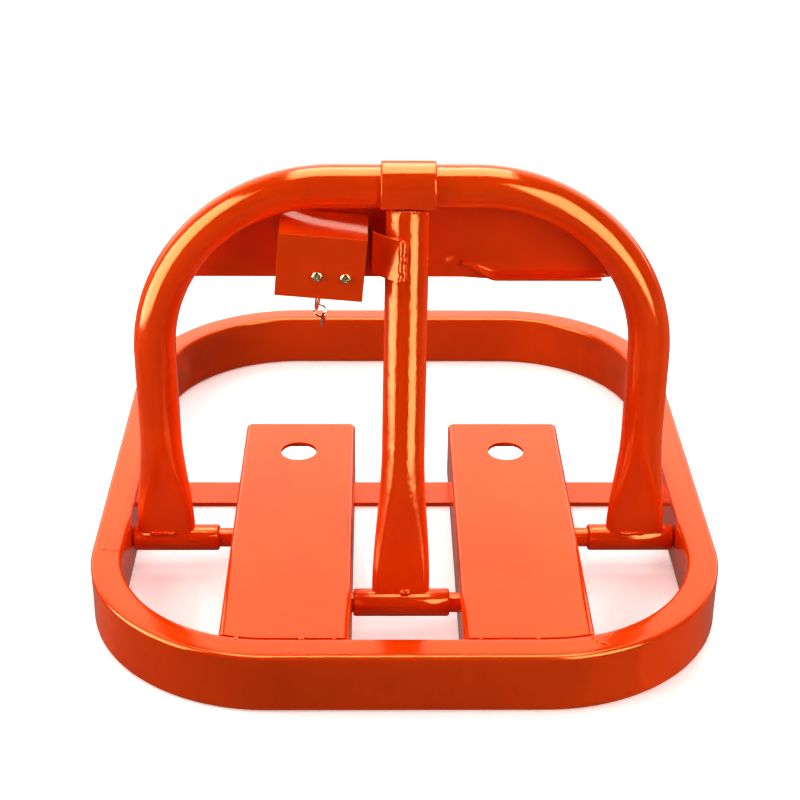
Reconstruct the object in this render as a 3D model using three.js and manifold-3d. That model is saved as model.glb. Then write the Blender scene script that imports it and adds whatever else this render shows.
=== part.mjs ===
// Folding parking lock: a flat ring frame bolted to the ground, a hinged arch with a back plate and
// a lock box, and a hinged leg that props the arch up. Millimetres, +Z up, the viewer stands at -Y.
import * as THREE from 'three';
import { mergeVertices } from 'three/addons/utils/BufferGeometryUtils.js';
import Module from 'manifold-3d';

const wasm = await Module();
wasm.setup();

// ---- driving dimensions ----
const GAP = 0.3;                 // clearance between neighbouring pieces
const RING_WIDTH = 510;          // across X
const RING_DEPTH = 612;          // across Y
const RING_HEIGHT = 50;
const RING_TUBE = 25;            // width of the rectangular tube the ring is bent from
const RING_CORNER = 150;         // outer bend radius
const RING_WALL = 2;
const RING_ARC = 9;              // facets in half of each ring bend
const PIVOT_Y = -101;            // arch hinge line
const FOOT_Y = -198;             // leg hinge line
const HINGE_Z = 25;
const SHAFT_R = 8;
const SLEEVE_R = 11;
const SLEEVE_BORE_R = SHAFT_R + GAP;
const PIPE_R = 16.85;            // 33.7 mm pipe
const PIPE_WALL = 2.2;
const COVER_CENTRE_X = 93;
const COVER_WIDTH = 100;
const COVER_BACK_Y = 54;
const COVER_SHEET = 3;
const COVER_FLANGE_Z = 28;       // lower edge of the turned-down back flange
const ACCESS_Y = 3.5;            // centre of the access holes and anchor bolts
const ACCESS_R = 16;
const BAR_Y = [-10, 26];
const BAR_THICK = 4;
const CROWN_Z = 343;             // centre line of the arch's straight top
const ARCH_HALF_SPAN = 198.5;
const ARCH_BEND_R = 141.5;
const ARCH_X = -2.5;             // the arch sits slightly left of centre
const PLATE_FRONT_Y = -86.6;
const PLATE_THICK = 3;
const PLATE_BOTTOM_Z = 261;
const PLATE_MARGIN = 17.6;       // plate edge to the pipe's centre line

// ---- solids ----
const toSolid = (geometry) => {
  geometry.deleteAttribute('normal');
  geometry.deleteAttribute('uv');
  const welded = mergeVertices(geometry, 1e-4);
  return new wasm.Manifold(new wasm.Mesh({
    numProp: 3,
    vertProperties: new Float32Array(welded.attributes.position.array),
    triVerts: new Uint32Array(welded.index.array),
  }));
};

const box = (x, y, z) => {
  const geometry = new THREE.BoxGeometry(x[1] - x[0], y[1] - y[0], z[1] - z[0]);
  geometry.translate((x[0] + x[1]) / 2, (y[0] + y[1]) / 2, (z[0] + z[1]) / 2);
  return toSolid(geometry);
};

// Cylinder along an axis ('x', 'y' or 'z') between two stations; `at` holds the other two coordinates.
const rod = (axis, radius, span, at, segments = 24) => {
  const geometry = new THREE.CylinderGeometry(radius, radius, span[1] - span[0], segments);
  const middle = (span[0] + span[1]) / 2;
  if (axis === 'x') {
    geometry.rotateZ(-Math.PI / 2);
    geometry.translate(middle, at[0], at[1]);
  } else if (axis === 'y') {
    geometry.translate(at[0], middle, at[1]);
  } else {
    geometry.rotateX(Math.PI / 2);
    geometry.translate(at[0], at[1], middle);
  }
  return toSolid(geometry);
};

// Rod with both end edges chamfered.
const chamferedRod = (axis, radius, span, at, chamfer, segments = 24) => {
  const half = (span[1] - span[0]) / 2;
  const profile = [
    new THREE.Vector2(0, -half),
    new THREE.Vector2(radius - chamfer, -half),
    new THREE.Vector2(radius, -half + chamfer),
    new THREE.Vector2(radius, half - chamfer),
    new THREE.Vector2(radius - chamfer, half),
    new THREE.Vector2(0, half),
  ];
  const geometry = new THREE.LatheGeometry(profile, segments);
  const middle = (span[0] + span[1]) / 2;
  if (axis === 'x') {
    geometry.rotateZ(-Math.PI / 2);
    geometry.translate(middle, at[0], at[1]);
  } else if (axis === 'y') {
    geometry.translate(at[0], middle, at[1]);
  } else {
    geometry.rotateX(Math.PI / 2);
    geometry.translate(at[0], at[1], middle);
  }
  return toSolid(geometry);
};

const extrude = (shape, depth, curveSegments = 6) => (
  new THREE.ExtrudeGeometry(shape, { depth, bevelEnabled: false, curveSegments })
);

// Profile drawn in X-Z, extruded along Y.
const prismY = (shape, y, curveSegments) => {
  const geometry = extrude(shape, y[1] - y[0], curveSegments);
  geometry.rotateX(Math.PI / 2);
  geometry.translate(0, y[1], 0);
  return toSolid(geometry);
};

// Profile drawn in Y-Z, extruded along X.
const prismX = (shape, x, curveSegments) => {
  const geometry = extrude(shape, x[1] - x[0], curveSegments);
  geometry.rotateX(Math.PI / 2);
  geometry.rotateZ(Math.PI / 2);
  geometry.translate(x[0], 0, 0);
  return toSolid(geometry);
};

// Profile drawn in X-Y, extruded along Z.
const prismZ = (shape, z, curveSegments) => {
  const geometry = extrude(shape, z[1] - z[0], curveSegments);
  geometry.translate(0, 0, z[0]);
  return toSolid(geometry);
};

const roundedRectangle = (halfX, halfY, radius) => {
  const shape = new THREE.Shape();
  shape.moveTo(halfX, -halfY + radius);
  shape.absarc(halfX - radius, halfY - radius, radius, 0, Math.PI / 2);
  shape.absarc(-halfX + radius, halfY - radius, radius, Math.PI / 2, Math.PI);
  shape.absarc(-halfX + radius, -halfY + radius, radius, Math.PI, Math.PI * 1.5);
  shape.absarc(halfX - radius, -halfY + radius, radius, Math.PI * 1.5, Math.PI * 2);
  shape.closePath();
  return shape;
};

const cutAll = (solid, cutters) => cutters.reduce((rest, cutter) => rest.subtract(cutter), solid);

// ---- pipes: a lathed hollow pipe whose rings are moved onto a path and squashed along it ----
// place(s) gives, at distance s along the pipe, the centre, the two section directions and the
// section's half sizes along them.
const pipe = (stations, place) => {
  const outer = stations.map((s) => new THREE.Vector2(PIPE_R, s));
  const inner = stations.map((s) => new THREE.Vector2(PIPE_R - PIPE_WALL, s)).reverse();
  const geometry = new THREE.LatheGeometry([...outer, ...inner, outer[0].clone()], 24);
  const position = geometry.attributes.position;
  for (let i = 0; i < position.count; i += 1) {
    const x = position.getX(i);
    const z = position.getZ(i);
    const radius = Math.hypot(x, z);
    const { centre, wide, thin, halfWide, halfThin } = place(position.getY(i));
    const wall = PIPE_R - radius;
    const cos = x / radius;
    const sin = z / radius;
    const flat = Math.max(halfWide - halfThin, 0);
    const side = Math.abs(cos) < 1e-6 ? 0 : Math.sign(cos);
    const across = cos * (Math.min(halfWide, halfThin) - wall) + side * flat;
    const through = sin * (halfThin - wall);
    const point = centre.clone().addScaledVector(wide, across).addScaledVector(thin, through);
    position.setXYZ(i, point.x, point.y, point.z);
  }
  return toSolid(geometry);
};

const blend = (value, from, to) => THREE.MathUtils.clamp((value - from) / (to - from), 0, 1);

// ---- ground frame ----
const baseRing = () => {
  const edge = 2.5;
  const outline = roundedRectangle(RING_WIDTH / 2, RING_DEPTH / 2, RING_CORNER);
  const inside = roundedRectangle(
    RING_WIDTH / 2 - RING_TUBE,
    RING_DEPTH / 2 - RING_TUBE,
    RING_CORNER - RING_TUBE,
  );
  outline.holes.push(inside);
  const skin = new THREE.ExtrudeGeometry(outline, {
    depth: RING_HEIGHT - 2 * edge,
    bevelSize: edge,
    bevelThickness: edge,
    bevelOffset: -edge,
    bevelSegments: 2,
    curveSegments: RING_ARC,
  });
  skin.translate(0, 0, edge);
  const hollow = roundedRectangle(
    RING_WIDTH / 2 - RING_WALL,
    RING_DEPTH / 2 - RING_WALL,
    RING_CORNER - RING_WALL,
  );
  hollow.holes.push(roundedRectangle(
    RING_WIDTH / 2 - RING_TUBE + RING_WALL,
    RING_DEPTH / 2 - RING_TUBE + RING_WALL,
    RING_CORNER - RING_TUBE + RING_WALL,
  ));
  const drains = [[-1, -1], [1, -1], [-1, 1], [1, 1]].map(([sx, sy]) => (
    rod('z', 4, [-1, RING_WALL + 1], [sx * (RING_WIDTH - RING_TUBE) / 2, sy * 90], 12)
  ));
  const solid = toSolid(skin).subtract(prismZ(hollow, [RING_WALL, RING_HEIGHT - RING_WALL], RING_ARC));
  return cutAll(solid, drains);
};

// Inverted U of sheet, open towards the front ring wall and the ground.
const cover = (side) => {
  const inner = COVER_CENTRE_X - COVER_WIDTH / 2;
  const outer = COVER_CENTRE_X + COVER_WIDTH / 2;
  const x = side < 0 ? [-outer, -inner] : [inner, outer];
  const front = -RING_DEPTH / 2 + RING_TUBE - 1;
  const bend = 5;
  const profile = new THREE.Shape();
  profile.moveTo(x[0], 0);
  profile.lineTo(x[0] + COVER_SHEET, 0);
  profile.lineTo(x[0] + COVER_SHEET, RING_HEIGHT - bend);
  profile.absarc(x[0] + bend, RING_HEIGHT - bend, bend - COVER_SHEET, Math.PI, Math.PI / 2, true);
  profile.absarc(x[1] - bend, RING_HEIGHT - bend, bend - COVER_SHEET, Math.PI / 2, 0, true);
  profile.lineTo(x[1] - COVER_SHEET, 0);
  profile.lineTo(x[1], 0);
  profile.absarc(x[1] - bend, RING_HEIGHT - bend, bend, 0, Math.PI / 2);
  profile.absarc(x[0] + bend, RING_HEIGHT - bend, bend, Math.PI / 2, Math.PI);
  profile.closePath();
  const sheet = prismY(profile, [front, COVER_BACK_Y], 3);
  const flange = box(
    [x[0] + 1, x[1] - 1],
    [COVER_BACK_Y - COVER_SHEET, COVER_BACK_Y],
    [COVER_FLANGE_Z, RING_HEIGHT - 1.5],
  );
  const middle = (x[0] + x[1]) / 2;
  const outerWall = side < 0 ? x[0] : x[1];
  const innerWall = side < 0 ? x[1] : x[0];
  const cutters = [
    rod('z', ACCESS_R, [RING_HEIGHT - 6, RING_HEIGHT + 1], [middle, ACCESS_Y], 32),
    box(
      [x[0] - 1, x[1] + 1],
      [BAR_Y[0] - GAP, BAR_Y[1] + GAP],
      [-1, BAR_THICK + GAP],
    ),
    rod('x', SLEEVE_BORE_R, [outerWall - 6, outerWall + 6], [PIVOT_Y, HINGE_Z]),
    rod('x', SLEEVE_BORE_R, [innerWall - 6, innerWall + 6], [FOOT_Y, HINGE_Z]),
  ];
  // The front end is trimmed to the inside of the ring, bends included.
  const inside = roundedRectangle(
    RING_WIDTH / 2 - RING_TUBE - GAP,
    RING_DEPTH / 2 - RING_TUBE - GAP,
    RING_CORNER - RING_TUBE - GAP,
  );
  return cutAll(sheet.add(flange), cutters).intersect(prismZ(inside, [-1, RING_HEIGHT + 1], RING_ARC));
};

const crossBar = () => {
  const reach = RING_WIDTH / 2 - RING_TUBE - GAP;
  const strip = box([-reach, reach], BAR_Y, [0, BAR_THICK]);
  return cutAll(strip, [-1, 1].map((side) => (
    rod('z', 6.5, [-1, BAR_THICK + 1], [side * COVER_CENTRE_X, ACCESS_Y], 24)
  )));
};

const sideShaft = (side) => {
  const span = [138.5, RING_WIDTH / 2 - RING_TUBE - GAP];
  const x = side < 0 ? [-span[1], -span[0]] : span;
  return chamferedRod('x', SHAFT_R, x, [PIVOT_Y, HINGE_Z], 0.8);
};

const footShaft = () => chamferedRod('x', SHAFT_R, [-49, 49], [FOOT_Y, HINGE_Z], 0.8);

// ---- arch ----
const FOOT_FLAT = { top: 122, bottom: 38, halfWide: 24, halfThin: 7.5 };

const archTube = () => {
  const start = HINGE_Z + 4;
  const legTop = CROWN_Z - ARCH_BEND_R;
  const straight = legTop - start;
  const bend = ARCH_BEND_R * Math.PI / 2;
  const crown = 2 * (ARCH_HALF_SPAN - ARCH_BEND_R);
  const length = 2 * straight + 2 * bend + crown;
  const thin = new THREE.Vector3(0, 1, 0);
  // One half of the path, from the foot up to the middle of the crown.
  const half = (s) => {
    if (s <= straight) {
      return { x: -ARCH_HALF_SPAN, z: start + s, turn: 0 };
    }
    if (s <= straight + bend) {
      const turn = (s - straight) / ARCH_BEND_R;
      return {
        x: -ARCH_HALF_SPAN + ARCH_BEND_R * (1 - Math.cos(turn)),
        z: legTop + ARCH_BEND_R * Math.sin(turn),
        turn,
      };
    }
    return { x: -ARCH_HALF_SPAN + ARCH_BEND_R + s - straight - bend, z: CROWN_Z, turn: Math.PI / 2 };
  };
  const place = (s) => {
    const mirrored = s > length / 2;
    const { x, z, turn } = half(mirrored ? length - s : s);
    const flatten = 1 - blend(z, FOOT_FLAT.bottom, FOOT_FLAT.top);
    const oval = 0.9 * Math.sin(2 * turn);
    const wide = new THREE.Vector3((mirrored ? 1 : -1) * Math.cos(turn), 0, Math.sin(turn));
    return {
      centre: new THREE.Vector3(ARCH_X + (mirrored ? -x : x), PIVOT_Y, z),
      wide,
      thin,
      halfWide: THREE.MathUtils.lerp(PIPE_R - oval, FOOT_FLAT.halfWide, flatten),
      halfThin: THREE.MathUtils.lerp(PIPE_R, FOOT_FLAT.halfThin, flatten),
    };
  };
  const foot = [0, FOOT_FLAT.bottom - start, 40, FOOT_FLAT.top - start, straight];
  const stations = [...foot];
  const steps = 12;
  for (let i = 1; i <= steps; i += 1) {
    stations.push(straight + bend * i / steps);
  }
  const mirrored = [...stations].reverse().map((s) => length - s);
  const body = pipe([...stations, ...mirrored], place);
  return body.subtract(rod('x', SLEEVE_R + GAP, [-250, 250], [PIVOT_Y, HINGE_Z], 32));
};

const sleeve = (x, y) => (
  chamferedRod('x', SLEEVE_R, x, [y, HINGE_Z], 0.8)
    .subtract(rod('x', SLEEVE_BORE_R, [x[0] - 1, x[1] + 1], [y, HINGE_Z]))
);

const sideSleeve = (side) => sleeve(side < 0 ? [-228.7, -156.7] : [156.7, 228.7], PIVOT_Y);

const backPlate = () => {
  const radius = ARCH_BEND_R - PLATE_MARGIN;
  const bendZ = CROWN_Z - ARCH_BEND_R;
  const bendX = ARCH_HALF_SPAN - ARCH_BEND_R;
  const low = Math.asin((PLATE_BOTTOM_Z - bendZ) / radius);
  const outline = new THREE.Shape();
  outline.absarc(ARCH_X + bendX, bendZ, radius, low, Math.PI / 2);
  outline.absarc(ARCH_X - bendX, bendZ, radius, Math.PI / 2, Math.PI - low);
  outline.closePath();
  const plate = prismY(outline, [PLATE_FRONT_Y, PLATE_FRONT_Y + PLATE_THICK], 8);
  const lip = box(
    [66, 155],
    [PLATE_FRONT_Y - 10, PLATE_FRONT_Y + 1],
    [PLATE_BOTTOM_Z, PLATE_BOTTOM_Z + PLATE_THICK],
  );
  return plate.add(lip);
};

const crownStrap = () => {
  const inner = PIPE_R + 0.4;
  const outer = inner + 3.5;
  const profile = new THREE.Shape();
  profile.moveTo(PIVOT_Y - outer, CROWN_Z - 11.6);
  profile.lineTo(PIVOT_Y - inner, CROWN_Z - 11.6);
  profile.absarc(PIVOT_Y, CROWN_Z, inner, Math.PI, Math.PI / 2, true);
  profile.absarc(PIVOT_Y, CROWN_Z, outer, Math.PI / 2, Math.PI);
  profile.closePath();
  return prismX(profile, [-20, 22.4], 8);
};

// ---- leg ----
const LEG_FOOT = new THREE.Vector3(-4, FOOT_Y, HINGE_Z);
const LEG_TOP = new THREE.Vector3(1, PIVOT_Y, CROWN_Z);
const LEG_CUT = 313.3;           // the pipe stops here, just short of the crown
const legAlong = LEG_TOP.clone().sub(LEG_FOOT).normalize();
const legBack = new THREE.Vector3(0, legAlong.z, -legAlong.y).normalize();
const legLeft = new THREE.Vector3().crossVectors(legAlong, legBack).normalize();

const legTube = () => {
  const place = (s) => {
    const round = blend(s, 23, 115);
    return {
      centre: LEG_FOOT.clone().addScaledVector(legAlong, s),
      wide: legLeft,
      thin: legBack,
      halfWide: THREE.MathUtils.lerp(22.8, PIPE_R, round),
      halfThin: THREE.MathUtils.lerp(7, PIPE_R, round),
    };
  };
  return pipe([5, 23, 69, 115, 180, 250, LEG_CUT], place)
    .subtract(rod('x', SLEEVE_R + GAP, [-60, 60], [FOOT_Y, HINGE_Z], 32));
};

const footSleeve = () => sleeve([-41.6, 35.1], FOOT_Y);

// Solid rod along the leg, a little wider than the pipe, used to keep neighbours clear of it.
const legClearance = () => {
  const geometry = new THREE.CylinderGeometry(PIPE_R + GAP, PIPE_R + GAP, 150, 32);
  const turn = new THREE.Quaternion().setFromUnitVectors(new THREE.Vector3(0, 1, 0), legAlong);
  geometry.applyQuaternion(turn);
  const middle = LEG_FOOT.clone().addScaledVector(legAlong, 270);
  geometry.translate(middle.x, middle.y, middle.z);
  return toSolid(geometry);
};

// Latch tab: bent strip laid out square to the leg (x to the right of its axis, y behind it),
// raised along the leg, and sheared so its welded end sits lower than its bend.
const TAB_PLAN = [[-5, -19.3], [-26.7, -4], [-29, 24.5], [-26.5, 24.5], [-24.3, -2.6], [-3.5, -17.2]];
const TAB_ALONG = [258, 290.5];
const TAB_SHEAR = 0.27;
const TAB_HOLE = { y: -105.1, z: 292.8, radius: 6.5 };

const latchTab = () => {
  const plan = new THREE.Shape(TAB_PLAN.map(([x, y]) => new THREE.Vector2(x, y)));
  const right = legLeft.clone().negate().addScaledVector(legAlong, -TAB_SHEAR);
  const place = new THREE.Matrix4().makeBasis(right, legBack, legAlong).setPosition(LEG_FOOT);
  return cutAll(prismZ(plan, TAB_ALONG).transform(place.elements), [
    legClearance(),
    rod('x', TAB_HOLE.radius, [-40, -18], [TAB_HOLE.y, TAB_HOLE.z]),
  ]);
};

// ---- lock box: modelled square, then tilted about Y to sit as it is welded to the plate ----
const LOCK_ORIGIN = new THREE.Vector3(-65.9, PLATE_FRONT_Y, 292.2);
const LOCK_TILT = 5;             // degrees, right side lower
const BOLT_AT = [-18.5, 4];
const CYLINDER_AT = [0, -26];
const CAM_PIN_R = 8.485;

const toArch = (solid) => (
  solid.rotate([0, LOCK_TILT, 0]).translate([LOCK_ORIGIN.x, LOCK_ORIGIN.y, LOCK_ORIGIN.z])
);

// The key, its keyway, ring and tag stand turned a little about the cylinder's axis.
const KEY_REST_TURN = -9;

const toKeySet = (solid) => {
  const [x, y] = CYLINDER_AT;
  return toArch(solid.translate([-x, -y, 0]).rotate([0, 0, KEY_REST_TURN]).translate([x, y, 0]));
};

const SCREWS = [[-1.8, -7.3], [19.9, -7.1]];

const lockCover = () => {
  const shell = box([-33.5, 34], [-54, -GAP], [-26, 25.2]);
  const room = box([-32, 32.5], [-52.5, 1], [-27, 23.7]);
  const holes = SCREWS.map(([x, z]) => rod('y', 2.3, [-56, -51], [x, z], 16));
  return cutAll(shell, [room, ...holes, rod('x', 5.5, [30, 36], BOLT_AT)]);
};

const lockHousing = () => {
  const block = box([-22, 31], [-52, -GAP], [-24, 12]);
  const room = box([-19, 28], [-49, -3.3], [-21, 13]);
  const holes = SCREWS.map(([x, z]) => rod('y', 2.3, [-53, -48], [x, z], 16));
  return cutAll(block, [
    room,
    ...holes,
    rod('x', 5.3, [-24, 33], BOLT_AT),
    rod('z', 8.3, [-25, -20], CYLINDER_AT),
  ]);
};

const coverScrew = ([x, z]) => (
  rod('y', 2, [-55, -45], [x, z], 16)
    .add(chamferedRod('y', 4.2, [-57, -54.3], [x, z], 0.8, 20))
    .subtract(box([x - 2.4, x + 2.4], [-58, -56], [z - 0.5, z + 0.5]))
    .subtract(box([x - 0.5, x + 0.5], [-58, -56], [z - 2.4, z + 2.4]))
);

const lockCylinder = () => (
  rod('z', 8, [-28, -10], CYLINDER_AT)
    .add(rod('z', 10, [-26.5, -24.3], CYLINDER_AT))
    .subtract(rod('z', 5, [-30, -8], CYLINDER_AT))
);

const cylinderNut = () => (
  rod('z', 12, [-20.7, -17], CYLINDER_AT, 6)
    .subtract(rod('z', 8.3, [-22, -16], CYLINDER_AT))
);

const KEYWAY = { halfX: 1.3, halfY: 4.3 };

const cylinderPlug = () => {
  const [x, y] = CYLINDER_AT;
  return cutAll(rod('z', 4.7, [-28, -4], CYLINDER_AT), [
    box(
      [x - KEYWAY.halfX, x + KEYWAY.halfX],
      [y - KEYWAY.halfY, y + KEYWAY.halfY],
      [-30, -11],
    ),
    rod('z', 1.8, [-9, -3], CYLINDER_AT, 16),
  ]);
};

const lockCam = () => {
  const [x, y] = CYLINDER_AT;
  const pin = [x - CAM_PIN_R * Math.SQRT1_2, y + CAM_PIN_R * Math.SQRT1_2];
  return rod('z', 11, [-3.7, -1.5], CYLINDER_AT)
    .add(rod('z', 1.5, [-2, 1.8], pin, 16))
    .subtract(rod('z', 1.8, [-5, 0], CYLINDER_AT, 16));
};

const camScrew = () => (
  rod('z', 2.2, [-1.2, 0.3], CYLINDER_AT, 16).add(rod('z', 1.5, [-8, -1], CYLINDER_AT, 16))
);

const lockBolt = () => {
  const slotX = CYLINDER_AT[0] - CAM_PIN_R * Math.SQRT1_2;
  return chamferedRod('x', 5, [-31.5, 33.5], BOLT_AT, 1)
    .subtract(box([slotX - 2, slotX + 2], [-26, -11], [-2, 2.3]));
};

const BOW = { z: -39, radius: 9, holeZ: -44.8, holeR: 1.9 };
const KEY_BLADE = 3.6;           // half width of a key blade

// Flat key: blade up, bow down, thin along X.
const key = () => {
  const [x, y] = CYLINDER_AT;
  const top = -12.5;
  const profile = new THREE.Shape();
  profile.absarc(y, BOW.z, BOW.radius, Math.PI * 0.75, Math.PI * 2.25);
  profile.lineTo(y + KEY_BLADE, BOW.z + 8);
  profile.lineTo(y + KEY_BLADE, top - 2);
  profile.lineTo(y + 1.6, top);
  profile.lineTo(y - 1.6, top);
  profile.lineTo(y - KEY_BLADE, top - 2);
  profile.lineTo(y - KEY_BLADE, BOW.z + 8);
  profile.closePath();
  return prismX(profile, [x - 1, x + 1], 8)
    .subtract(rod('x', BOW.holeR, [x - 3, x + 3], [y, BOW.holeZ], 16));
};

const TAG_OFFSET = 5.5;           // the tag hangs this far to the right of the key
const LOOP_R = 5;
const LOOP_DROP = Math.sqrt(LOOP_R ** 2 - (TAG_OFFSET / 2) ** 2);

const keyRing = () => {
  const geometry = new THREE.TorusGeometry(LOOP_R, 0.6, 8, 24);
  geometry.rotateX(Math.PI / 2);
  geometry.translate(CYLINDER_AT[0] + TAG_OFFSET / 2, CYLINDER_AT[1], BOW.holeZ - LOOP_DROP);
  return toSolid(geometry);
};

// Small metal tag hanging from the ring.
const keyTag = () => {
  const x = CYLINDER_AT[0] + TAG_OFFSET;
  const y = CYLINDER_AT[1];
  const holeZ = BOW.holeZ - 2 * LOOP_DROP;
  const halfWidth = 6;
  const profile = new THREE.Shape();
  profile.moveTo(y - halfWidth, holeZ - 6);
  profile.lineTo(y + halfWidth, holeZ - 6);
  profile.lineTo(y + halfWidth, holeZ);
  profile.absarc(y, holeZ - 2.5, halfWidth, Math.PI / 6, Math.PI * 5 / 6);
  profile.lineTo(y - halfWidth, holeZ);
  profile.closePath();
  return prismX(profile, [x - 0.8, x + 0.8], 6)
    .subtract(rod('x', 1.6, [x - 3, x + 3], [y, holeZ], 16));
};

// ---- materials ----
const ORANGE = { color: 0xe03a10, roughness: 0.28, metalness: 0.05 };
const STEEL = { color: 0x9a9a98, roughness: 0.35, metalness: 0.9 };
const ZINC = { color: 0xc9b98a, roughness: 0.3, metalness: 0.9 };
const BRASS = { color: 0xc9a55a, roughness: 0.35, metalness: 0.9 };
const NICKEL = { color: 0xd6d4cc, roughness: 0.2, metalness: 1 };

const group = new THREE.Group();
group.name = 'folding_parking_lock';

const addPiece = (name, solid, finish) => {
  const { vertProperties, triVerts } = solid.getMesh();
  const geometry = new THREE.BufferGeometry();
  geometry.setAttribute('position', new THREE.Float32BufferAttribute(vertProperties, 3));
  geometry.setIndex(new THREE.Uint32BufferAttribute(triVerts, 1));
  geometry.computeVertexNormals();
  const mesh = new THREE.Mesh(geometry, new THREE.MeshStandardMaterial(finish));
  mesh.name = name;
  group.add(mesh);
};

addPiece('base_ring', baseRing(), ORANGE);
addPiece('left_cover', cover(-1), ORANGE);
addPiece('right_cover', cover(1), ORANGE);
addPiece('cross_bar', crossBar(), ORANGE);
addPiece('left_side_shaft', sideShaft(-1), ORANGE);
addPiece('right_side_shaft', sideShaft(1), ORANGE);
addPiece('foot_shaft', footShaft(), ORANGE);
addPiece('arch_tube', archTube(), ORANGE);
addPiece('left_pivot_sleeve', sideSleeve(-1), ORANGE);
addPiece('right_pivot_sleeve', sideSleeve(1), ORANGE);
addPiece('back_plate', backPlate(), ORANGE);
addPiece('crown_strap', crownStrap(), ORANGE);
addPiece('lock_cover', toArch(lockCover()), ORANGE);
addPiece('lock_housing', toArch(lockHousing()), ORANGE);
addPiece('cover_screw_left', toArch(coverScrew(SCREWS[0])), ZINC);
addPiece('cover_screw_right', toArch(coverScrew(SCREWS[1])), ZINC);
addPiece('lock_cylinder', toArch(lockCylinder()), BRASS);
addPiece('cylinder_nut', toArch(cylinderNut()), STEEL);
addPiece('leg_tube', legTube(), ORANGE);
addPiece('foot_sleeve', footSleeve(), ORANGE);
addPiece('latch_tab', latchTab(), ORANGE);
addPiece('lock_bolt', toArch(lockBolt()), STEEL);
addPiece('cylinder_plug', toKeySet(cylinderPlug()), BRASS);
addPiece('lock_cam', toArch(lockCam()), STEEL);
addPiece('cam_screw', toArch(camScrew()), STEEL);
addPiece('key', toKeySet(key()), NICKEL);
addPiece('key_ring', toKeySet(keyRing()), NICKEL);
addPiece('key_tag', toKeySet(keyTag()), NICKEL);

export default group;
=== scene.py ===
"""Looks of the folding parking lock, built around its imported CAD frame.

Sizes in the shape code are millimetres in the CAD frame (+X right, +Y back, +Z up).
Meshes, lights and the camera are in metres.
"""
import math

import bmesh
import bpy
from mathutils import Matrix, Vector, noise


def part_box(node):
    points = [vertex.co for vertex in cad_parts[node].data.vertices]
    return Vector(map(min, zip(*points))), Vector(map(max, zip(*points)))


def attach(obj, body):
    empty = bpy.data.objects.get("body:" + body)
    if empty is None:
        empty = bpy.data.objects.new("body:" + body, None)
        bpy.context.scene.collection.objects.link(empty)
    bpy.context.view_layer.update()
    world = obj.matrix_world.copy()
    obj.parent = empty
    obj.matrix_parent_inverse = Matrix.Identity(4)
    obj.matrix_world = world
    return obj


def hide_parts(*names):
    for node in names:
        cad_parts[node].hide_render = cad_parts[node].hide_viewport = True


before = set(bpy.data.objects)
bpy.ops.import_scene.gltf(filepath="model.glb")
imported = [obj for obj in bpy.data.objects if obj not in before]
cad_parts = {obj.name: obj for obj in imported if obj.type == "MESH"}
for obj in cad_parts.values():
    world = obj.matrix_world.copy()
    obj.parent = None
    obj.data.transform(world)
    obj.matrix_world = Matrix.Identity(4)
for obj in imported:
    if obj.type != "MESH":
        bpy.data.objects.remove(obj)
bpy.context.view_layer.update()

MM = 0.001
UP = Vector((0, 0, 1))


def cad_box(node):
    """Lowest and highest corner of a CAD node, in millimetres."""
    low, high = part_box(node)
    return low / MM, high / MM


# ---- driving dimensions, in millimetres; places come from the CAD nodes ----
RING_LOW, RING_HIGH = cad_box("base_ring")
RING_TUBE = 25                 # width of the rectangular tube
RING_CORNER = 150              # outer bend radius
PIPE_R = 16.85
PIPE_WALL = 2.2
SLEEVE_R = 11
SLEEVE_BORE_R = 8.3
SLEEVE_CHAMFER = 1.6
BORE_CHAMFER = 0.3
SHAFT_R = 8
SHAFT_CHAMFER = 0.8
PIVOT_Y = sum(corner.y for corner in cad_box("left_pivot_sleeve")) / 2
FOOT_Y = sum(corner.y for corner in cad_box("foot_sleeve")) / 2
HINGE_Z = 25
ARCH_LOW, ARCH_HIGH = cad_box("arch_tube")
CROWN_Z = ARCH_HIGH.z - PIPE_R
ARCH_X = (ARCH_LOW.x + ARCH_HIGH.x) / 2
ARCH_HALF_SPAN = 198.5
ARCH_BEND_R = 141.5
ARCH_START_Z = HINGE_Z + 2
ARCH_BEND_Z = CROWN_Z - ARCH_BEND_R            # the uprights end and the bends start here
ARCH_BEND_LENGTH = ARCH_BEND_R * math.pi / 2
ARCH_LENGTH = 2 * (ARCH_BEND_Z - ARCH_START_Z + ARCH_BEND_LENGTH + ARCH_HALF_SPAN - ARCH_BEND_R)
ARCH_FOOT_HALF = (24, 7.5)     # half sizes of the flattened foot, wide and thin
ARCH_ROUND_FROM = 34           # heights between which the foot grows round
ARCH_ROUND_TO = 128
LEG_FOOT = Vector((-4, FOOT_Y, HINGE_Z))
LEG_TOP = Vector((1, PIVOT_Y, CROWN_Z))
LEG_CUT = 313.3                # length of the leg pipe
LEG_FOOT_HALF = (22.8, 6.8)
LEG_ROUND_FROM = 14            # distances up the leg between which it grows round
LEG_ROUND_TO = 126
LEG_ALONG = (LEG_TOP - LEG_FOOT).normalized()
LEG_BACK = Vector((0, LEG_ALONG.z, -LEG_ALONG.y)).normalized()
LEG_SIDE = LEG_ALONG.cross(LEG_BACK).normalized()
STRAP_THICK = 3.5
STRAP_CLEARANCE = 0.4
PLATE_LOW, PLATE_HIGH = cad_box("back_plate")
PLATE_BOTTOM = PLATE_LOW.z
PLATE_THICK = 3
PLATE_FRONT_Y = PLATE_HIGH.y - PLATE_THICK
PLATE_MARGIN = 17.6            # from the centre line of the arch pipe in to the plate's edge
FOLD_FROM = 66                 # the folded lip starts here and runs right
FOLD_TO = 155
FOLD_TIP = (42, 282)           # the crease fades out at this point of the plate
FOLD_DEPTH = 3.2
LIP_TAPER = 22                 # length over which the lip fades into the crease
LIP_THICK = 3
LIP_CORNER = 1.2


# ---- small maths ----
def lerp(a, b, t):
    return a + (b - a) * t


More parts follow.
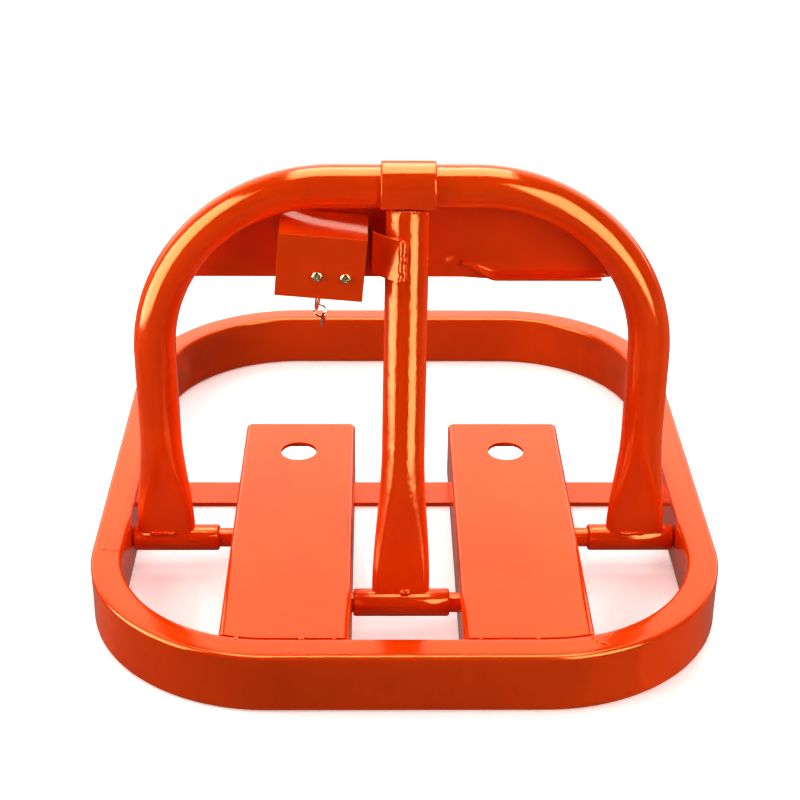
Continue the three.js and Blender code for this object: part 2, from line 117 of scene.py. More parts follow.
def smooth(value, low, high):
    """Eases from 0 at `low` to 1 at `high`."""
    t = min(max((value - low) / (high - low), 0), 1)
    return t * t * (3 - 2 * t)


def spread(low, high, count):
    """The ends and the points between them that make `count` equal steps."""
    return [lerp(low, high, i / count) for i in range(count + 1)]


def wobble(point, scale, seed=0.0):
    """Smooth noise in -1..1, `scale` millimetres from bump to bump."""
    return noise.noise(point / scale + Vector((seed, seed * 1.7, -seed)))


# ---- meshes ----
def mesh_piece(name, verts, faces, material, body, replaces, sharp):
    """A piece from points in millimetres; edges sharper than `sharp` degrees stay crisp."""
    mesh = bpy.data.meshes.new(name)
    mesh.from_pydata([Vector(v) * MM for v in verts], [], faces)
    mesh.validate()
    made = bmesh.new()
    made.from_mesh(mesh)
    bmesh.ops.recalc_face_normals(made, faces=made.faces)
    made.to_mesh(mesh)
    made.free()
    return dress(name, mesh, material, body, replaces, sharp)


def dress(name, mesh, material, body, replaces, sharp):
    """Turns a finished mesh into a piece that rides on a body."""
    for face in mesh.polygons:
        face.use_smooth = True
    mesh.set_sharp_from_angle(angle=math.radians(sharp))
    mesh.materials.clear()
    mesh.materials.append(material)
    piece = bpy.data.objects.new(name, mesh)
    bpy.context.collection.objects.link(piece)
    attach(piece, body)
    if replaces:
        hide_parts(*replaces)
    return piece


def skin(rows, wrap_rows=False):
    """Faces joining rows of points, each a closed loop. Ends are capped unless the rows wrap."""
    size = len(rows[0])
    verts = [point for row in rows for point in row]
    faces = []
    last = len(rows) if wrap_rows else len(rows) - 1
    for i in range(last):
        below = i * size
        above = (i + 1) % len(rows) * size
        for j in range(size):
            k = (j + 1) % size
            faces.append((below + j, below + k, above + k, above + j))
    if not wrap_rows:
        faces.append(tuple(range(size)))
        faces.append(tuple(reversed(range(len(verts) - size, len(verts)))))
    return verts, faces


def circle(count):
    """Angles of `count` equal steps round a circle."""
    return [math.tau * i / count for i in range(count)]


def turned(axis_low, axis_high, profile, count=72):
    """A lathed body between two points; profile is a closed loop of (distance along, radius)."""
    along = (axis_high - axis_low).normalized()
    side = along.orthogonal().normalized()
    other = along.cross(side)
    rows = []
    for angle in circle(count):
        out = side * math.cos(angle) + other * math.sin(angle)
        rows.append([axis_low + along * s + out * r for s, r in profile])
    return skin(rows, wrap_rows=True)


def rounded_loop(half_a, half_b, radius, steps, splits=(1, 1)):
    """Closed rounded rectangle round the origin; splits adds points along the flat sides (a, b)."""
    loop = []
    corners = [(1, 1, 0), (-1, 1, 90), (-1, -1, 180), (1, -1, 270)]
    for index, (sa, sb, start) in enumerate(corners):
        for step in range(steps + 1):
            angle = math.radians(start + 90 * step / steps)
            loop.append((
                sa * (half_a - radius) + radius * math.cos(angle),
                sb * (half_b - radius) + radius * math.sin(angle),
            ))
        nexta, nextb, nextstart = corners[(index + 1) % 4]
        begin = loop[-1]
        angle = math.radians(nextstart)
        end = (
            nexta * (half_a - radius) + radius * math.cos(angle),
            nextb * (half_b - radius) + radius * math.sin(angle),
        )
        count = splits[0] if index % 2 == 0 else splits[1]
        for step in range(1, count):
            loop.append((lerp(begin[0], end[0], step / count), lerp(begin[1], end[1], step / count)))
    return loop


# ---- materials ----
COLOUR_A, COLOUR_B, COLOUR_OUT = 6, 7, 2       # colour sockets of the mix node


class Tree:
    """A node tree that starts empty, with short calls to add and join nodes."""

    def __init__(self, owner):
        owner.use_nodes = True
        self.tree = owner.node_tree
        self.tree.nodes.clear()

    def add(self, kind, inputs=None, **settings):
        node = self.tree.nodes.new(kind)
        for key, value in settings.items():
            setattr(node, key, value)
        for key, value in (inputs or {}).items():
            node.inputs[key].default_value = value
        return node

    def link(self, source, output, target, entry):
        self.tree.links.new(source.outputs[output], target.inputs[entry])

    def choose(self, ray_output, otherwise, chosen):
        """The `chosen` shader for one kind of ray, `otherwise` for the rest; both are (node, output)."""
        ray = self.add("ShaderNodeLightPath")
        pick = self.add("ShaderNodeMixShader")
        self.link(ray, ray_output, pick, "Fac")
        self.link(*otherwise, pick, 1)
        self.link(*chosen, pick, 2)
        return pick


class Nodes(Tree):
    """A principled material, with short calls for the textures used here."""

    def __init__(self, name):
        self.material = bpy.data.materials.new(name)
        super().__init__(self.material)
        self.output = self.add("ShaderNodeOutputMaterial")
        self.shader = self.add("ShaderNodeBsdfPrincipled")
        self.link(self.shader, "BSDF", self.output, "Surface")
        self.place = self.add("ShaderNodeTexCoord")

    def set(self, **values):
        for key, value in values.items():
            self.shader.inputs[key.replace("_", " ")].default_value = value

    def noise(self, scale, detail):
        """Noise with `scale` bumps in each metre."""
        inputs = {"Scale": scale, "Detail": detail, "Roughness": 0.55}
        node = self.add("ShaderNodeTexNoise", inputs)
        self.link(self.place, "Object", node, "Vector")
        return node

    def range(self, source, output, low, high, to_low, to_high):
        inputs = {"From Min": low, "From Max": high, "To Min": to_low, "To Max": to_high}
        node = self.add("ShaderNodeMapRange", inputs)
        self.link(source, output, node, "Value")
        return node

    def mix(self, factor, first, second):
        """Colour mix; factor is (node, output), first and second are colours or (node, output)."""
        node = self.add("ShaderNodeMix", data_type="RGBA")
        self.link(*factor, node, "Factor")
        for entry, value in ((COLOUR_A, first), (COLOUR_B, second)):
            if isinstance(value[0], bpy.types.Node):
                self.link(*value, node, entry)
            else:
                node.inputs[entry].default_value = (*value, 1)
        return node

    def edge_mask(self, radius):
        """About 1 where a rounded edge would be, 0 on flat faces."""
        bevel = self.add("ShaderNodeBevel", {"Radius": radius}, samples=4)
        geometry = self.add("ShaderNodeNewGeometry")
        dot = self.add("ShaderNodeVectorMath", operation="DOT_PRODUCT")
        self.link(bevel, "Normal", dot, 0)
        self.link(geometry, "Normal", dot, 1)
        return self.range(dot, "Value", 0.995, 0.9, 0.0, 1.0)

    def bumps(self, layers):
        """Bump from several noises: (scale, distance in metres)."""
        below = None
        for scale, distance in layers:
            bump = self.add("ShaderNodeBump", {"Strength": 1.0, "Distance": distance})
            self.link(self.noise(scale, 2), "Fac", bump, "Height")
            if below:
                self.link(below, "Normal", bump, "Normal")
            below = bump
        self.link(below, "Normal", self.shader, "Normal")


EDGE_HIGHLIGHT_RADIUS = 0.0012           # metres along an edge painted paler, a painted highlight where the rounded edge would catch the light


def gloss_paint(name, colour, peel):
    """Glossy enamel: slow drift in the colour, orange peel `peel` metres deep, edges painted paler as a
    painted highlight.
    """
    nodes = Nodes(name)
    deep = tuple(c * k for c, k in zip(colour, (0.93, 0.85, 0.8)))
    # painted highlight: a paler copy of the colour, used only along the edges
    highlight_tone = tuple(min(c * k, 1) for c, k in zip(colour, (1.05, 1.5, 1.8)))
    drift = nodes.range(nodes.noise(9, 4), "Fac", 0.35, 0.65, 0.0, 1.0)
    body = nodes.mix((drift, "Result"), deep, colour)
    # painted highlight: the edges are mixed towards the paler colour
    edge_highlight = nodes.mix((nodes.edge_mask(EDGE_HIGHLIGHT_RADIUS), "Result"), (body, COLOUR_OUT), highlight_tone)
    nodes.link(edge_highlight, COLOUR_OUT, nodes.shader, "Base Color")
    gloss = nodes.range(nodes.noise(60, 5), "Fac", 0.3, 0.7, 0.1, 0.17)
    nodes.link(gloss, "Result", nodes.shader, "Roughness")
    nodes.set(IOR=1.55, Specular_Tint=(1.0, 0.85, 0.38, 1.0))
    nodes.bumps([(420, peel), (70, peel * 2.2)])
    return nodes.material


def metal(name, colour, roughness, tint=(0.8, 0.8, 0.8)):
    """Bare metal with darker spots, uneven shine and a very fine grain."""
    nodes = Nodes(name)
    spots = nodes.range(nodes.noise(260, 5), "Fac", 0.4, 0.65, 0.0, 1.0)
    darker = tuple(c * k for c, k in zip(colour, tint))
    mixed = nodes.mix((spots, "Result"), colour, darker)
    nodes.link(mixed, COLOUR_OUT, nodes.shader, "Base Color")
    rough = nodes.range(nodes.noise(500, 3), "Fac", 0.3, 0.7, roughness * 0.7, roughness * 1.4)
    nodes.link(rough, "Result", nodes.shader, "Roughness")
    nodes.set(Metallic=1.0)
    nodes.bumps([(900, 0.00001)])
    return nodes.material


def studio_floor():
    """White to the camera; to the object it is a dim grey, so the faces near it keep their colour."""
    nodes = Nodes("studio_floor")
    tone = nodes.range(nodes.noise(3, 2), "Fac", 0.3, 0.7, 0.93, 0.96)
    nodes.link(tone, "Result", nodes.shader, "Base Color")
    nodes.set(Roughness=0.2, IOR=1.4, Emission_Color=(1, 1, 1, 1), Emission_Strength=0.34)
    dim = nodes.add("ShaderNodeEmission", {"Strength": 0.3})
    seen = nodes.choose("Is Camera Ray", (dim, "Emission"), (nodes.shader, "BSDF"))
    nodes.link(seen, "Shader", nodes.output, "Surface")
    return nodes.material


ORANGE_COLOUR = (0.85, 0.096, 0.003)
PAINT = gloss_paint("orange_enamel", ORANGE_COLOUR, peel=0.00005)
ROUGH_PAINT = gloss_paint("orange_enamel_peel", ORANGE_COLOUR, peel=0.0002)
STEEL = metal("bright_steel", (0.55, 0.55, 0.54), 0.3)
ZINC = metal("yellow_zinc", (0.74, 0.64, 0.42), 0.22, tint=(0.8, 0.72, 0.6))
BRASS = metal("brass", (0.78, 0.56, 0.24), 0.28)
NICKEL = metal("nickel", (0.82, 0.81, 0.78), 0.16)
SLOTS = {
    "orange_paint": PAINT,
    "bright_steel": STEEL,
    "yellow_zinc": ZINC,
    "brass": BRASS,
    "nickel": NICKEL,
}


# ---- CAD shapes carried over with finished edges ----
def round_edges(piece, width, segments, angle):
    """Rounds the edges sharper than `angle` degrees, `width` millimetres wide."""
    bevel = piece.modifiers.new("edges", "BEVEL")
    bevel.width = width * MM
    bevel.segments = segments
    bevel.limit_method = "ANGLE"
    bevel.angle_limit = math.radians(angle)
    return bevel


def refine(node, body, slot, edge, segments=2):
    """A copy of a CAD node with its flat faces merged and its edges rounded."""
    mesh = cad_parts[node].data.copy()
    made = bmesh.new()
    made.from_mesh(mesh)
    bmesh.ops.remove_doubles(made, verts=made.verts, dist=1e-6)
    bmesh.ops.dissolve_limit(made, angle_limit=math.radians(0.5), verts=made.verts, edges=made.edges)
    made.to_mesh(mesh)
    made.free()
    piece = dress(node + "_shell", mesh, SLOTS[slot], body, (node,), 32)
    if edge:
        bevel = round_edges(piece, edge, segments, 38)
        bevel.harden_normals = True


# ---- ground frame ----
def ring_path(count_bend=40, count_run=26):
    """Centre line of the ring as (point, outward direction, how far into a bend 0..1)."""
    half_x = RING_HIGH.x - RING_TUBE / 2
    half_y = RING_HIGH.y - RING_TUBE / 2
    radius = RING_CORNER - RING_TUBE / 2
    centres = [(1, -1, -90), (1, 1, 0), (-1, 1, 90), (-1, -1, 180)]
    path = []
    for index, (sx, sy, start) in enumerate(centres):
        centre = Vector((sx * (half_x - radius), sy * (half_y - radius), 0))
        for step in range(count_bend + 1):
            angle = math.radians(start + 90 * step / count_bend)
            out = Vector((math.cos(angle), math.sin(angle), 0))
            path.append((centre + out * radius, out, math.sin(math.pi * step / count_bend)))
        nx, ny, nstart = centres[(index + 1) % 4]
        end = Vector((nx * (half_x - radius), ny * (half_y - radius), 0))
        angle = math.radians(nstart)
        end += Vector((math.cos(angle), math.sin(angle), 0)) * radius
        begin, out, _ = path[-1]
        for step in range(1, count_run):
            path.append((begin.lerp(end, step / count_run), out, 0.0))
    return path


def base_ring():
    """Bent rectangular tube. Its inner wall is wrinkled where it was bent."""
    height = RING_HIGH.z - RING_LOW.z
    corner = 3.2
    skin_depth = 4             # points this close to a side wall belong to it
    section = rounded_loop(RING_TUBE / 2, height / 2, corner, 5, (4, 14))
    rows = []
    for centre, out, bend in ring_path():
        row = []
        for a, b in section:
            depth = 0.0
            belly = math.cos(math.pi * b / height)
            if a < -RING_TUBE / 2 + skin_depth:
                point = centre + out * a + UP * b
                ripple = wobble(point, 30, 3) + 0.45 * wobble(point, 15, 8)
                depth = bend ** 0.5 * belly * (1.3 + 3.0 * ripple)
            elif a > RING_TUBE / 2 - skin_depth:
                depth = -0.5 * bend * belly
            lift = 0.12 * wobble(centre + out * a, 60, 5) if abs(b) > height / 2 - 2 else 0
            row.append(centre + out * (a + depth) + UP * (b + height / 2 - abs(lift)))
        rows.append(row)
    verts, faces = skin(rows, wrap_rows=True)
    mesh_piece("ring_shell", verts, faces, PAINT, "base", ("base_ring",), 50)


def covers():
    for side in ("left", "right"):
        refine(f"{side}_cover", "base", "orange_paint", 0.7)
    refine("cross_bar", "base", "orange_paint", 0.8)


def rod_piece(node, body, profile_of):
    """A turned piece on a hinge line; profile_of makes its profile from its length."""
    low, high = cad_box(node)
    y = (low.y + high.y) / 2
    start = Vector((low.x, y, HINGE_Z))
    end = Vector((high.x, y, HINGE_Z))
    verts, faces = turned(start, end, profile_of((end - start).length))
    mesh_piece(node + "_turned", verts, faces, PAINT, body, (node,), 40)


def sleeve_profile(length):
    shoulder = SLEEVE_R - SLEEVE_CHAMFER
    corner = SLEEVE_CHAMFER * 0.35
    half = [
        (BORE_CHAMFER, SLEEVE_BORE_R),
        (0, SLEEVE_BORE_R + BORE_CHAMFER),
        (0, shoulder),
        (corner, SLEEVE_R - corner),
        (SLEEVE_CHAMFER, SLEEVE_R),
    ]
    return half + [(length - s, r) for s, r in reversed(half)]


def shaft_profile(length):
    half = [(0, 0.01), (0, SHAFT_R - SHAFT_CHAMFER), (SHAFT_CHAMFER, SHAFT_R)]
    return half + [(length - s, r) for s, r in reversed(half)]


def hinge_hardware():
    rod_piece("left_pivot_sleeve", "arch", sleeve_profile)
    rod_piece("right_pivot_sleeve", "arch", sleeve_profile)
    rod_piece("foot_sleeve", "leg", sleeve_profile)
    for node in ("left_side_shaft", "right_side_shaft", "foot_shaft"):
        rod_piece(node, "base", shaft_profile)


# ---- pipes ----
def pipe_rows(stations, place, count=96):
    """Loops of a pipe; `place` gives the centre, section directions and half sizes at a station."""
    rows = []
    for s in stations:
        centre, wide, thin, half_wide, half_thin = place(s)
        flat = max(half_wide - half_thin, 0)
        row = []
        for angle in circle(count):
            cos = math.cos(angle)
            sin = math.sin(angle)
            side = max(-1, min(1, cos * 2.6))
            across = cos * min(half_wide, half_thin) + side * flat
            row.append(centre + wide * across + thin * (sin * half_thin))
        rows.append(row)
    return rows


def arch_place(s):
    """Centre, section directions and half sizes at distance s along the arch."""
    straight = ARCH_BEND_Z - ARCH_START_Z
    mirrored = s > ARCH_LENGTH / 2
    side = -1 if mirrored else 1
    t = ARCH_LENGTH - s if mirrored else s
    if t <= straight:
        x, z, turn = -ARCH_HALF_SPAN, ARCH_START_Z + t, 0.0
    elif t <= straight + ARCH_BEND_LENGTH:
        turn = (t - straight) / ARCH_BEND_R
        x = -ARCH_HALF_SPAN + ARCH_BEND_R * (1 - math.cos(turn))
        z = ARCH_BEND_Z + ARCH_BEND_R * math.sin(turn)
    else:
        x = -ARCH_HALF_SPAN + ARCH_BEND_R + t - straight - ARCH_BEND_LENGTH
        z, turn = CROWN_Z, math.pi / 2
    flatten = 1 - smooth(z, ARCH_ROUND_FROM, ARCH_ROUND_TO)
    oval = 0.9 * math.sin(2 * turn)
    wide = Vector((-side * math.cos(turn), 0, math.sin(turn)))
    centre = Vector((ARCH_X + side * x, PIVOT_Y, z))
    half_wide = lerp(PIPE_R - oval, ARCH_FOOT_HALF[0], flatten)
    half_thin = lerp(PIPE_R, ARCH_FOOT_HALF[1], flatten)
    return centre, wide, Vector((0, 1, 0)), half_wide, half_thin


def arch_tube():
    rows = pipe_rows(spread(0, ARCH_LENGTH, 360), arch_place)
    verts, faces = skin(rows)
    mesh_piece("arch_pipe", verts, faces, PAINT, "arch", ("arch_tube",), 50)


def leg_place(s):
    """Centre, section directions and half sizes at distance s up the leg."""
    growth = smooth(s, LEG_ROUND_FROM, LEG_ROUND_TO)
    centre = LEG_FOOT + LEG_ALONG * s
    half_wide = lerp(LEG_FOOT_HALF[0], PIPE_R, growth)
    half_thin = lerp(LEG_FOOT_HALF[1], PIPE_R, growth)
    return centre, LEG_SIDE, LEG_BACK, half_wide, half_thin


def leg_tube():
    """Leg pipe with a rounded rim and an open top end."""
    rounding = {LEG_CUT - 0.5: 0.25, LEG_CUT - 0.1: 0.7, LEG_CUT: 1.2}
    stations = [2, *spread(6, LEG_CUT - 1.2, 140), *rounding]
    rows = pipe_rows(stations, leg_place)

    def shrunk(row, centre, amount):
        keep = (PIPE_R - amount) / PIPE_R
        return [centre + (point - centre) * keep for point in row]

    for index, s in enumerate(stations):
        if s in rounding:
            rows[index] = shrunk(rows[index], leg_place(s)[0], rounding[s])
    rows.append(shrunk(rows[-1], leg_place(LEG_CUT)[0], PIPE_WALL))
    bore_depth = 60
    rows.append([point - LEG_ALONG * bore_depth for point in rows[-1]])
    verts, faces = skin(rows)
    mesh_piece("leg_pipe", verts, faces, ROUGH_PAINT, "leg", ("leg_tube",), 50)


# ---- sheet pieces ----
def crown_strap():
    """Strap bent over the crown, with a slightly ragged left edge."""
    low, high = cad_box("crown_strap")
    inner = PIPE_R + STRAP_CLEARANCE
    outer = inner + STRAP_THICK
    bevel = 0.8
    leaf = low.z

    def arc(radius, start, end):
        points = []
        for angle in spread(start, end, 24):
            turn = math.radians(angle)
            points.append((PIVOT_Y + radius * math.cos(turn), CROWN_Z + radius * math.sin(turn)))
        return points

    outline = arc(outer, 90, 180)
    outline.append((PIVOT_Y - outer, leaf + bevel))
    outline.append((PIVOT_Y - outer + bevel, leaf))
    outline.append((PIVOT_Y - inner - bevel, leaf))
    outline.append((PIVOT_Y - inner, leaf + bevel))
    outline += arc(inner, 180, 90)
    middle_r = (inner + outer) / 2
    left_edge = [(0, 0.75), (0.008, 0.3), (0.025, 0)]      # (place across, how much thinner)
    right_edge = [(0.975, 0), (0.992, 0.3), (1, 0.75)]
    rows = []
    for t, shrink in (*left_edge, *((k, 0) for k in spread(0.06, 0.94, 12)), *right_edge):
        row = []
        for y, z in outline:
            x = lerp(low.x, high.x, t)
            if t < 0.1:
                place = Vector((0, y, z))
                x += 0.5 * wobble(place, 6, 2) + 0.3 * wobble(place, 2.5, 4)
            from_axis = Vector((0, y - PIVOT_Y, z - CROWN_Z))
            if z < CROWN_Z:
                from_axis.z = 0
            spoke = from_axis.normalized()
            aim = spoke * middle_r - from_axis
            row.append(Vector((x, y, z)) + aim * (shrink / 2))
        rows.append(row)
    verts, faces = skin(rows)
    mesh_piece("strap_shell", verts, faces, PAINT, "arch", ("crown_strap",), 40)


def plate_top(x):
    """Highest Z of the back plate at X, a fixed margin inside the arch's centre line."""
    radius = ARCH_BEND_R - PLATE_MARGIN
    past_bend = max(abs(x - ARCH_X) - (ARCH_HALF_SPAN - ARCH_BEND_R), 0)
    return ARCH_BEND_Z + math.sqrt(max(radius ** 2 - past_bend ** 2, 0))


def plate_front(x, z):
    """Y of the plate's front face, with its waviness, fold and dent."""
    start, peak = FOLD_TIP
    y = PLATE_FRONT_Y + 0.35 * wobble(Vector((x, 0, z)), 70, 6)
    if x > start:
        rise = peak - PLATE_BOTTOM - LIP_THICK
        crease = PLATE_BOTTOM + LIP_THICK + rise * max(0, 1 - (x - start) / 34) ** 1.5
        under = smooth(crease - z, 0, 4.5)
        strength = smooth(x, start, FOLD_FROM) * (1 - smooth(x, FOLD_TO - 2, FOLD_TO + 6))
        y -= FOLD_DEPTH * under * strength
    from_dent = math.hypot((x - start + 2) / 13, (z - peak + 3) / 10)
    return y + 2.2 * max(0, 1 - from_dent) ** 1.2


def back_plate():
    """Segment plate with a folded lower right edge and a dent where the fold fades out."""
    columns = spread(PLATE_LOW.x + 0.2, PLATE_HIGH.x - 0.2, 150)
    steps = 26
    front, back = [], []
    for x in columns:
        for z in spread(PLATE_BOTTOM, plate_top(x), steps):
            y = plate_front(x, z)
            front.append(Vector((x, y, z)))
            back.append(Vector((x, y + PLATE_THICK, z)))
    size = steps + 1
    verts = front + back
    offset = len(front)
    faces = []
    last = len(columns) - 1
    for i in range(last):
        for j in range(steps):
            a = i * size + j
            faces.append((a, a + size, a + size + 1, a + 1))
            faces.append((offset + a, offset + a + 1, offset + a + size + 1, offset + a + size))
    rim = [i * size for i in range(last + 1)]
    rim += [last * size + j for j in range(1, steps + 1)]
    rim += [i * size + steps for i in range(last - 1, -1, -1)]
    rim += list(range(steps - 1, 0, -1))
    for k, a in enumerate(rim):
        b = rim[(k + 1) % len(rim)]
        faces.append((a, offset + a, offset + b, b))
    plate = mesh_piece("plate_shell", verts, faces, PAINT, "arch", ("back_plate",), 40)
    round_edges(plate, 0.6, 2, 50)


def plate_lip():
    """The folded lip: a strip turned forward, tapering into the crease at its left end."""
    soft = LIP_CORNER * 0.3
    back = PLATE_FRONT_Y + 1.5
    rows = []
    for x in spread(FOLD_FROM - LIP_TAPER, FOLD_TO, 60):
        grow = smooth(x, FOLD_FROM - LIP_TAPER, FOLD_FROM + 6)
        low = PLATE_BOTTOM + 0.2 + (1 - grow) * 9
        high = low + LIP_THICK
        front = PLATE_FRONT_Y - 2 - 8 * grow
        outline = [
            (back, low),
            (front + LIP_CORNER, low),
            (front + soft, low + soft),
            (front, low + LIP_CORNER),
            (front, high - LIP_CORNER),
            (front + soft, high - soft),
            (front + LIP_CORNER, high),
            (back - 3.5, high),
            (back - 2, high + 1.5),
            (back, high + 1.5),
        ]
        row = [Vector((x, y, z)) for y, z in outline]
        rows.append(row)
    verts, faces = skin(rows)
    mesh_piece("plate_lip", verts, faces, PAINT, "arch", (), 40)


# ---- welds ----
def weld(name, path, radius, body, seed, pitch=3.2):
    """A weld bead along points in millimetres: overlapping scales with uneven width and round ends."""
    lengths = [0.0]
    for a, b in zip(path, path[1:]):
        lengths.append(lengths[-1] + (b - a).length)
    total = lengths[-1]
    steps = max(int(total / 0.7), 10)
    rows = []
    for step in range(steps + 1):
        s = total * step / steps
        k = max(i for i, at in enumerate(lengths) if at <= s + 1e-6)
        k = min(k, len(path) - 2)
        local = (s - lengths[k]) / max(lengths[k + 1] - lengths[k], 1e-6)
        centre = path[k].lerp(path[k + 1], local)
        along = (path[k + 1] - path[k]).normalized()
        side = along.orthogonal().normalized()
        other = along.cross(side)
        end = min(s, total - s) / radius
        taper = math.sqrt(max(1 - (1 - min(end, 1)) ** 2, 0.0004))
        phase = s / pitch + 0.3 * wobble(centre, 8, seed)
        scale = 0.82 + 0.22 * (phase % 1) ** 0.6 + 0.2 * wobble(centre, 5, seed + 3)
        row = []
        for angle in circle(14):
            out = side * math.cos(angle) + other * math.sin(angle)
            lump = 1 + 0.16 * wobble(centre + out * radius, 3, seed + 9)
            row.append(centre + out * (radius * scale * lump * taper))
        rows.append(row)
    verts, faces = skin(rows)
    mesh_piece(name, verts, faces, PAINT, body, (), 60)


def tack(name, centre, radius, body, seed):
    """A single weld spot: a flattened lump."""
    flatness = 0.55
    rows = []
    for level in spread(0.02, 0.98, 8):
        tilt = math.pi * level
        row = []
        for angle in circle(16):
            ring = math.sin(tilt)
            out = Vector((ring * math.cos(angle), ring * math.sin(angle), math.cos(tilt)))
            size = radius * (1 + 0.3 * wobble(centre + out * radius, 4, seed))
            row.append(centre + Vector((out.x, out.y, out.z * flatness)) * size)
        rows.append(row)
    verts, faces = skin(rows)
    mesh_piece(name, verts, faces, PAINT, body, (), 60)


def leg_offset(along, right, back):
    """A point beside the leg: distance up its axis, then to the right of it and behind it."""
    return LEG_FOOT + LEG_ALONG * along - LEG_SIDE * right + LEG_BACK * back


def leg_welds():
    bead = [
        leg_offset(u, -3.4 + 0.7 * math.sin(u), -PIPE_R - 1.7 + 0.4 * math.cos(2 * u))
        for u in spread(258, 293, 9)
    ]
    weld("tab_weld", bead, 3.4, "leg", 1.0, pitch=5.5)
    tab_top = [leg_offset(291.5, -4, -18), leg_offset(293.5, -12, -13.5)]
    weld("tab_top_weld", tab_top, 1.9, "leg", 2.0)
    reach = PIPE_R - 1.25      # from the leg's axis to the bead round its top
    rim = [
        leg_offset(LEG_CUT, math.sin(turn) * reach, -math.cos(turn) * reach)
        for turn in (math.radians(angle) for angle in spread(-62, 62, 14))
    ]
    weld("leg_top_weld", rim, 1.5, "leg", 5.0)
    foot = leg_place(14)[0]
    lump = [foot + Vector(step) for step in ((-1, -7.4, -1), (3, -7.6, -2), (8, -7.2, -1))]
    weld("foot_weld", lump, 2.6, "leg", 7.0)


def arch_welds():
    for name, side in (("left", -1), ("right", 1)):
        foot = Vector((ARCH_X + side * ARCH_HALF_SPAN, PIVOT_Y - 8.2, HINGE_Z + 9))
        points = [foot + Vector((dx, 0, 0.6 * math.sin(dx))) for dx in spread(-14, 8, 6)]
        weld(f"{name}_foot_weld", points, 1.7, "arch", 11.0 + side)


def base_welds():
    front = RING_LOW.y + RING_TUBE
    top = RING_HIGH.z
    tacks = ((-129, 2.4), (-79, 2.8), (-55, 1.6), (56, 1.8), (99, 2.0), (139, 2.6))   # (x, size)
    for index, (x, size) in enumerate(tacks):
        tack(f"cover_tack_{index + 1}", Vector((x, front + 0.2, top - 0.4)), size, "base", index)
    corner = [(141, front - 3, top), (147, front - 7, top + 0.1), (152, front - 9, top)]
    weld("cover_weld_right", [Vector(point) for point in corner], 1.4, "base", 21.0)
    joint = [
        Vector((x, lerp(-156.5, -161, (x + 255) / 25), top - 0.35)) for x in spread(-252, -232, 6)
    ]
    weld("ring_joint_weld", joint, 1.2, "base", 23.0)
    for name, side in (("left", -1), ("right", 1)):
        for x in (44.5, 141.5):
            tack(f"bar_tack_{name}_{int(x)}", Vector((side * x, 8, 1.5)), 2.2, "base", x)


def welds():
    leg_welds()
    arch_welds()
    base_welds()


# ---- lock box ----
def lock_parts():
    """The box and what is in it, each with its slot and the width of its edges in millimetres."""
    refine("lock_cover", "arch", "orange_paint", 0.65, 3)
    for node, body, slot, edge in (
        ("lock_housing", "arch", "orange_paint", 0.4),
        ("cover_screw_left", "arch", "yellow_zinc", 0.25),
        ("cover_screw_right", "arch", "yellow_zinc", 0.25),
        ("lock_cylinder", "arch", "brass", 0.3),
        ("cylinder_nut", "arch", "bright_steel", 0.3),
        ("lock_bolt", "bolt", "bright_steel", 0.3),
        ("cylinder_plug", "key_set", "brass", 0.2),
        ("lock_cam", "key_set", "bright_steel", 0.2),
        ("cam_screw", "key_set", "bright_steel", 0.15),
        ("key", "key_set", "nickel", 0.25),
        ("key_ring", "key_set", "nickel", 0),
        ("key_tag", "key_set", "nickel", 0.2),
    ):
        refine(node, body, slot, edge)
    refine("latch_tab", "leg", "orange_paint", 0.6, 3)


# ---- studio ----
def glint_material(name, strength):
    """Seen only in glossy reflections; every other ray passes through."""
    material = bpy.data.materials.new(name)
    tree = Tree(material)
    output = tree.add("ShaderNodeOutputMaterial")
    clear = tree.add("ShaderNodeBsdfTransparent")
    glow = tree.add("ShaderNodeEmission", {"Strength": strength})
    seen = tree.choose("Is Glossy Ray", (clear, "BSDF"), (glow, "Emission"))
    tree.link(seen, "Shader", output, "Surface")
    return material


def sheet(name, half_x, half_y, z, material, place=Matrix()):
    """A flat rectangle in metres that belongs to the studio; `place` moves it."""
    mesh = bpy.data.meshes.new(name)
    corners = [(-half_x, -half_y, z), (half_x, -half_y, z), (half_x, half_y, z), (-half_x, half_y, z)]
    mesh.from_pydata(corners, [], [(0, 1, 2, 3)])
    mesh.materials.append(material)
    made = bpy.data.objects.new(name, mesh)
    bpy.context.collection.objects.link(made)
    made.matrix_world = place


def softbox(name, centre, aim, width, height, soft, glint):
    """A lamp of strength `soft` that lights the surfaces, and a panel `glint` strong that they mirror."""
    turn = (Vector(aim) - Vector(centre)).to_track_quat("-Z", "Y").to_matrix().to_4x4()
    place = Matrix.Translation(centre) @ turn
    light = bpy.data.lights.new(name, "AREA")
    light.shape = "RECTANGLE"
    light.size = width
    light.size_y = height
    light.energy = soft * width * height * math.pi
    lamp = bpy.data.objects.new(name, light)
    bpy.context.collection.objects.link(lamp)
    lamp.matrix_world = place
    lamp.visible_glossy = False
    lamp.visible_camera = False
    material = glint_material(name + "_glint", glint)
    sheet(name + "_panel", width / 2, height / 2, 0, material, place)


def studio():
    floor_half = 9.0
    floor_z = -0.0006          # just under the object, so the two never share a plane
    sheet("floor", floor_half, floor_half, floor_z, studio_floor())
    softbox("top_softbox", (0, 0.45, 2.0), (0, 0.45, 0), 1.3, 2.0, soft=4.6, glint=13.0)
    aim = (0, -0.12, 0.66)
    softbox("left_softbox", (-0.95, -0.41, 0.66), aim, 0.87, 1.3, soft=4.6, glint=14.0)
    softbox("right_softbox", (0.66, -0.93, 0.66), aim, 0.7, 1.3, soft=4.6, glint=14.0)
    surroundings()


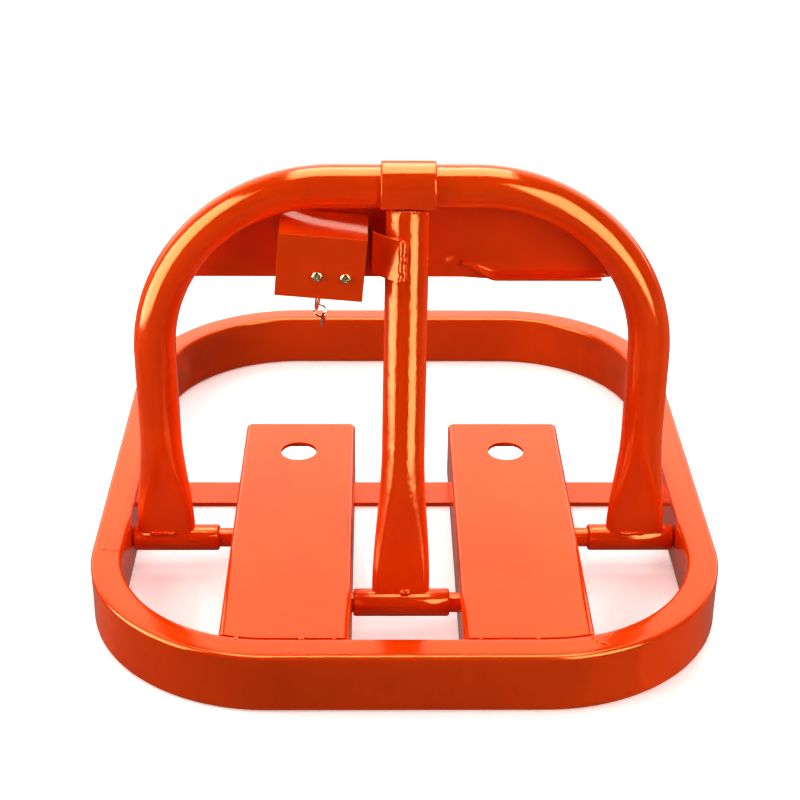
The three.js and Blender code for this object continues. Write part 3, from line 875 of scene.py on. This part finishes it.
def surroundings():
    """White paper behind and a dim room in front, brighter in reflections than as light."""
    world = bpy.data.worlds.new("studio")
    bpy.context.scene.world = world
    tree = Tree(world)
    output = tree.add("ShaderNodeOutputWorld")
    place = tree.add("ShaderNodeTexCoord")
    split = tree.add("ShaderNodeSeparateXYZ")
    tree.link(place, "Generated", split, "Vector")

    def backdrop(front_y, back_y, front, back):
        """Brightness that goes from `front` to `back` with the Y of the direction."""
        inputs = {"From Min": front_y, "From Max": back_y, "To Min": front, "To Max": back}
        ramp = tree.add("ShaderNodeMapRange", inputs)
        shade = tree.add("ShaderNodeBackground")
        tree.link(split, "Y", ramp, "Value")
        tree.link(ramp, "Result", shade, "Color")
        return shade, "Background"

    lit = backdrop(-0.1, 0.5, 0.14, 1.0)
    mirrored = backdrop(0.3, 0.6, 0.06, 2.6)
    paper = tree.add("ShaderNodeBackground", {"Color": (1, 1, 1, 1)})
    felt = tree.choose("Is Glossy Ray", lit, mirrored)
    seen = tree.choose("Is Camera Ray", (felt, "Shader"), (paper, "Background"))
    tree.link(seen, "Shader", output, "Surface")


CAMERA_AT = (-0.02296, -1.34019, 0.81495)
CAMERA_LENS = 77.3             # millimetres, on a sensor 36 mm wide
CAMERA_DOWN = math.radians(27.95)
CAMERA_RIGHT = math.radians(0.875)
CAMERA_ROLL = math.radians(0.448)
VIEW_GAMMA = 0.72


def camera():
    data = bpy.data.cameras.new("camera")
    data.sensor_width = 36
    data.lens = CAMERA_LENS
    lens = bpy.data.objects.new("camera", data)
    bpy.context.collection.objects.link(lens)
    level_part = math.cos(CAMERA_DOWN)
    forward = Vector((
        math.sin(CAMERA_RIGHT) * level_part,
        math.cos(CAMERA_RIGHT) * level_part,
        -math.sin(CAMERA_DOWN),
    ))
    right = forward.cross(UP).normalized()
    lens.matrix_world = (
        Matrix.Translation(CAMERA_AT)
        @ Matrix((right, right.cross(forward), -forward)).transposed().to_4x4()
        @ Matrix.Rotation(CAMERA_ROLL, 4, "Z")
    )
    bpy.context.scene.camera = lens
    view = bpy.context.scene.view_settings
    view.view_transform = "Standard"
    view.look = "None"
    view.gamma = VIEW_GAMMA


base_ring()
covers()
hinge_hardware()
arch_tube()
leg_tube()
crown_strap()
back_plate()
plate_lip()
lock_parts()
welds()
studio()
camera()
